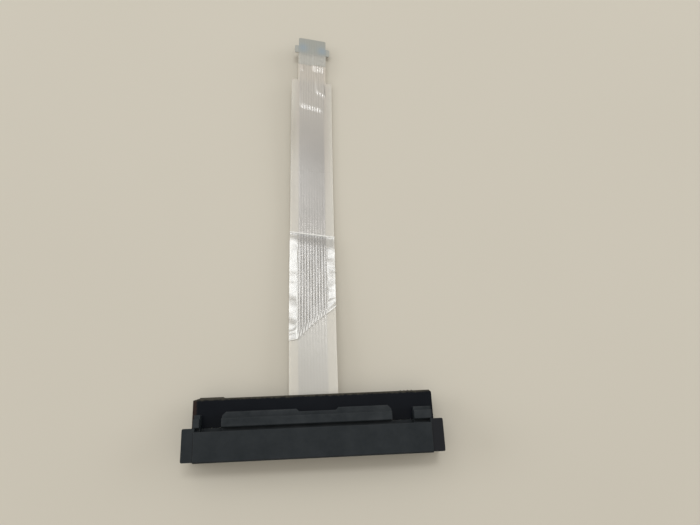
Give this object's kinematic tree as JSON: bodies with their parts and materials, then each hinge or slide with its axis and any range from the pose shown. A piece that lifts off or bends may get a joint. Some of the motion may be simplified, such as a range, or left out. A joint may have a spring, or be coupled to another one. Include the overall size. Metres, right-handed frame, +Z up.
{
  "type": "laptop drive cable",
  "caption": "Black drive receptacle on a narrow board, with a flat white ribbon soldered under it that ends in a blue stiffened insertion tab.",
  "frame": {"origin": "below the middle of the receptacle with its board, on the plane that its base rests on; the ribbon is left out of that middle", "axes": "+X along the receptacle, +Y from the mating face towards the ribbon, +Z up from the base"},
  "size_m": [0.0404, 0.0805, 0.0052],
  "materials": {
    "housing_black": "matte moulded, faintly mottled",
    "board_black": "black solder mask on laminate",
    "contact_metal": "gold-flashed spring strip",
    "conductor_metal": "flat tinned conductor",
    "solder": "satin solder",
    "ribbon_film": "glossy milky film",
    "stiffener_blue": "dull blue film strip",
    "patch_clear": "clear, crumpled, glossy"
  },
  "bodies": {
    "root": {"clear_patch": "patch_clear", "contact_solder": "solder", "end_stiffener": "stiffener_blue", "paddle_board": "board_black", "power_contact_1": "contact_metal", "power_contact_10": "contact_metal", "power_contact_11": "contact_metal", "power_contact_12": "contact_metal", "power_contact_13": "contact_metal", "power_contact_14": "contact_metal", "power_contact_15": "contact_metal", "power_contact_2": "contact_metal", "power_contact_3": "contact_metal", "power_contact_4": "contact_metal", "power_contact_5": "contact_metal", "power_contact_6": "contact_metal", "power_contact_7": "contact_metal", "power_contact_8": "contact_metal", "power_contact_9": "contact_metal", "receptacle_housing": "housing_black", "ribbon_conductor_1": "conductor_metal", "ribbon_conductor_10": "conductor_metal", "ribbon_conductor_2": "conductor_metal", "ribbon_conductor_3": "conductor_metal", "ribbon_conductor_4": "conductor_metal", "ribbon_conductor_5": "conductor_metal", "ribbon_conductor_6": "conductor_metal", "ribbon_conductor_7": "conductor_metal", "ribbon_conductor_8": "conductor_metal", "ribbon_conductor_9": "conductor_metal", "ribbon_lower_film": "ribbon_film", "ribbon_solder": "solder", "ribbon_upper_film": "ribbon_film", "signal_contact_1": "contact_metal", "signal_contact_2": "contact_metal", "signal_contact_3": "contact_metal", "signal_contact_4": "contact_metal", "signal_contact_5": "contact_metal", "signal_contact_6": "contact_metal", "signal_contact_7": "contact_metal"}
  },
  "joints": []
}
